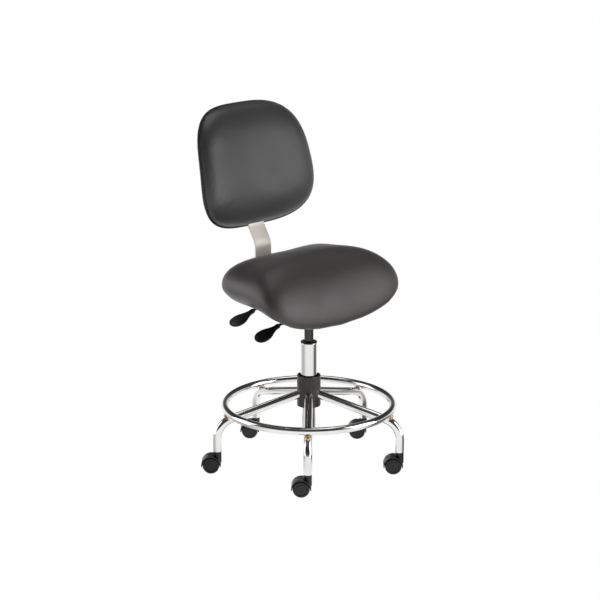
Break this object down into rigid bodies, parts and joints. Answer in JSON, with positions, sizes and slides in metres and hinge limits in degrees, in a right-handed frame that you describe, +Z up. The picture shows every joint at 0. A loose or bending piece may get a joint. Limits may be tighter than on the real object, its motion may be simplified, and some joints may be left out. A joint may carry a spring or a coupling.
{
  "type": "drafting chair",
  "caption": "Armless drafting chair with a padded seat and back, a gas lift, side levers and a tubular castor base with a foot ring.",
  "frame": {"origin": "on the floor under the column's axis", "axes": "+Z up, the sitter faces -Y, +X on the sitter's left"},
  "size_m": [0.6128, 0.6121, 1.0696],
  "materials": {
    "hub_black": "satin",
    "steel_black": "satin",
    "chrome": "polished",
    "brass": "satin",
    "zinc_steel": "satin",
    "moulded_black": "satin",
    "wheel_black": "satin",
    "nickel_strap": "satin",
    "seat_vinyl": "satin",
    "back_vinyl": "satin",
    "piping_vinyl": "satin",
    "shell_plastic": "matte",
    "plywood": "matte"
  },
  "bodies": {
    "base": {"hub_core": "steel_black", "hub_cover": "hub_black", "foot_ring": "chrome", "ring_brazes": "brass", "stem_sockets": "moulded_black", "column_tube": "chrome", "column_bush": "moulded_black", "thrust_bearing": "zinc_steel", "leg_1": "chrome", "leg_2": "chrome", "leg_3": "chrome", "leg_4": "chrome", "leg_5": "chrome"},
    "spindle": {"piston_rod": "zinc_steel", "piston": "zinc_steel", "rod_clip": "zinc_steel"},
    "seat_frame": {"gas_tube": "chrome", "mechanism_housing": "steel_black", "pivot_pins": "zinc_steel", "tilt_spring": "zinc_steel", "seat_bolts": "zinc_steel", "seat_board": "plywood", "seat_cushion": "seat_vinyl"},
    "height_lever": {"height_lever": "steel_black", "height_grip": "moulded_black"},
    "tilt_lever": {"tilt_lever": "steel_black", "tilt_grip": "moulded_black"},
    "back_arm": {"hinge_plate": "steel_black", "back_bar": "nickel_strap", "bar_bolts": "zinc_steel"},
    "backrest": {"back_carriage": "steel_black", "back_screws": "zinc_steel", "back_shell": "shell_plastic", "back_cushion": "back_vinyl", "back_piping": "piping_vinyl"},
    "castor_1": {"castor_1_stem": "zinc_steel", "castor_1_hood": "moulded_black", "castor_1_axle": "zinc_steel"},
    "castor_1_wheel_left": {"castor_1_wheel_left": "wheel_black"},
    "castor_1_wheel_right": {"castor_1_wheel_right": "wheel_black"},
    "castor_2": {"castor_2_stem": "zinc_steel", "castor_2_hood": "moulded_black", "castor_2_axle": "zinc_steel"},
    "castor_2_wheel_left": {"castor_2_wheel_left": "wheel_black"},
    "castor_2_wheel_right": {"castor_2_wheel_right": "wheel_black"},
    "castor_3": {"castor_3_stem": "zinc_steel", "castor_3_hood": "moulded_black", "castor_3_axle": "zinc_steel"},
    "castor_3_wheel_left": {"castor_3_wheel_left": "wheel_black"},
    "castor_3_wheel_right": {"castor_3_wheel_right": "wheel_black"},
    "castor_4": {"castor_4_stem": "zinc_steel", "castor_4_hood": "moulded_black", "castor_4_axle": "zinc_steel"},
    "castor_4_wheel_left": {"castor_4_wheel_left": "wheel_black"},
    "castor_4_wheel_right": {"castor_4_wheel_right": "wheel_black"},
    "castor_5": {"castor_5_stem": "zinc_steel", "castor_5_hood": "moulded_black", "castor_5_axle": "zinc_steel"},
    "castor_5_wheel_left": {"castor_5_wheel_left": "wheel_black"},
    "castor_5_wheel_right": {"castor_5_wheel_right": "wheel_black"}
  },
  "joints": [
    {"name": "seat_swivel", "type": "hinge", "parent": "base", "child": "spindle", "pos_m": [0, 0, 0.112], "axis": [0, 0, 1], "continuous": true},
    {"name": "seat_lift", "type": "slide", "parent": "spindle", "child": "seat_frame", "axis": [0, 0, 1], "range_m": [-0.075, 0.065]},
    {"name": "height_lever_pull", "type": "hinge", "parent": "seat_frame", "child": "height_lever", "pos_m": [-0.03, -0.056, 0.483], "axis": [0, 1, 0], "range_deg": [0, 5], "stiffness_Nm_per_rad": 6, "springref_deg": -6.88},
    {"name": "tilt_lever_pull", "type": "hinge", "parent": "seat_frame", "child": "tilt_lever", "pos_m": [-0.03, 0.052, 0.507], "axis": [0, 1, 0], "range_deg": [0, 2.5], "stiffness_Nm_per_rad": 6, "springref_deg": -6.88},
    {"name": "back_angle", "type": "hinge", "parent": "seat_frame", "child": "back_arm", "pos_m": [0, 0.062, 0.49], "axis": [-1, 0, 0], "range_deg": [-2, 18]},
    {"name": "back_height", "type": "slide", "parent": "back_arm", "child": "backrest", "axis": [0, 0.2152, 0.9766], "range_m": [0, 0.06]},
    {"name": "castor_1_swivel", "type": "hinge", "parent": "base", "child": "castor_1", "pos_m": [-0.20272, -0.20414, 0.066], "axis": [0, 0, 1], "continuous": true},
    {"name": "castor_1_wheel_left_spin", "type": "hinge", "parent": "castor_1", "child": "castor_1_wheel_left", "pos_m": [-0.21616, -0.19071, 0.025], "axis": [0.7071, 0.7071, 0], "continuous": true},
    {"name": "castor_1_wheel_right_spin", "type": "hinge", "parent": "castor_1", "child": "castor_1_wheel_right", "pos_m": [-0.21616, -0.19071, 0.025], "axis": [0.7071, 0.7071, 0], "continuous": true},
    {"name": "castor_2_swivel", "type": "hinge", "parent": "base", "child": "castor_2", "pos_m": [0.13151, -0.25588, 0.066], "axis": [0, 0, 1], "continuous": true},
    {"name": "castor_2_wheel_left_spin", "type": "hinge", "parent": "castor_2", "child": "castor_2_wheel_left", "pos_m": [0.11807, -0.24245, 0.025], "axis": [0.7071, 0.7071, 0], "continuous": true},
    {"name": "castor_2_wheel_right_spin", "type": "hinge", "parent": "castor_2", "child": "castor_2_wheel_right", "pos_m": [0.11807, -0.24245, 0.025], "axis": [0.7071, 0.7071, 0], "continuous": true},
    {"name": "castor_3_swivel", "type": "hinge", "parent": "base", "child": "castor_3", "pos_m": [0.284, 0.046, 0.066], "axis": [0, 0, 1], "continuous": true},
    {"name": "castor_3_wheel_left_spin", "type": "hinge", "parent": "castor_3", "child": "castor_3_wheel_left", "pos_m": [0.27056, 0.05943, 0.025], "axis": [0.7071, 0.7071, 0], "continuous": true},
    {"name": "castor_3_wheel_right_spin", "type": "hinge", "parent": "castor_3", "child": "castor_3_wheel_right", "pos_m": [0.27056, 0.05943, 0.025], "axis": [0.7071, 0.7071, 0], "continuous": true},
    {"name": "castor_4_swivel", "type": "hinge", "parent": "base", "child": "castor_4", "pos_m": [0.04401, 0.28431, 0.066], "axis": [0, 0, 1], "continuous": true},
    {"name": "castor_4_wheel_left_spin", "type": "hinge", "parent": "castor_4", "child": "castor_4_wheel_left", "pos_m": [0.03058, 0.29775, 0.025], "axis": [0.7071, 0.7071, 0], "continuous": true},
    {"name": "castor_4_wheel_right_spin", "type": "hinge", "parent": "castor_4", "child": "castor_4_wheel_right", "pos_m": [0.03058, 0.29775, 0.025], "axis": [0.7071, 0.7071, 0], "continuous": true},
    {"name": "castor_5_swivel", "type": "hinge", "parent": "base", "child": "castor_5", "pos_m": [-0.2568, 0.12972, 0.066], "axis": [0, 0, 1], "continuous": true},
    {"name": "castor_5_wheel_left_spin", "type": "hinge", "parent": "castor_5", "child": "castor_5_wheel_left", "pos_m": [-0.27023, 0.14315, 0.025], "axis": [0.7071, 0.7071, 0], "continuous": true},
    {"name": "castor_5_wheel_right_spin", "type": "hinge", "parent": "castor_5", "child": "castor_5_wheel_right", "pos_m": [-0.27023, 0.14315, 0.025], "axis": [0.7071, 0.7071, 0], "continuous": true}
  ]
}
